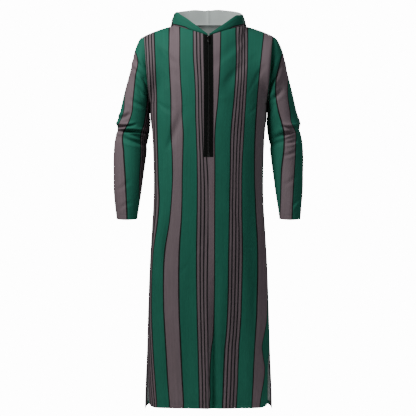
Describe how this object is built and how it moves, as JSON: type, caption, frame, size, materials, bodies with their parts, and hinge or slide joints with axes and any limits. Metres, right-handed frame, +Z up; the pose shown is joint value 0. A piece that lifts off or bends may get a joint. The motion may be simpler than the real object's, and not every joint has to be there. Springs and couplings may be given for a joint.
{
  "type": "hooded thobe",
  "caption": "Ankle-length hooded garment with long set-in sleeves, a striped weave, a front zip from the neck to the chest, side slits and the hood worn down, in its hollow worn form.",
  "frame": {"origin": "on the centre line at the height where the neck and shoulders of the wearer carry the garment", "axes": "+Z up, -Y towards the front with the zip, +X towards the wearer's left"},
  "size_m": [0.664, 0.3241, 1.403],
  "materials": {
    "striped_cloth": "matt woven stripes in green, mauve and black, pale grey-mint reverse",
    "zip_tape": "black woven tape",
    "zip_teeth": "black moulded teeth",
    "slider_metal": "dark lacquered metal, worn bright at its edges"
  },
  "bodies": {
    "garment": {"front_left": "striped_cloth", "front_right": "striped_cloth", "back": "striped_cloth", "sleeve_left": "striped_cloth", "sleeve_right": "striped_cloth", "hood_left": "striped_cloth", "hood_right": "striped_cloth", "zip_tape_left": "zip_tape", "zip_tape_right": "zip_tape", "zip_chain": "zip_teeth", "zip_stop": "zip_teeth", "zip_slider": "slider_metal"},
    "pull": {"zip_pull": "slider_metal"}
  },
  "joints": [
    {"name": "pull_swing", "type": "hinge", "parent": "garment", "child": "pull", "pos_m": [0, -0.10346, -0.02788], "axis": [-1, 0, 0], "range_deg": [0, 150]}
  ]
}
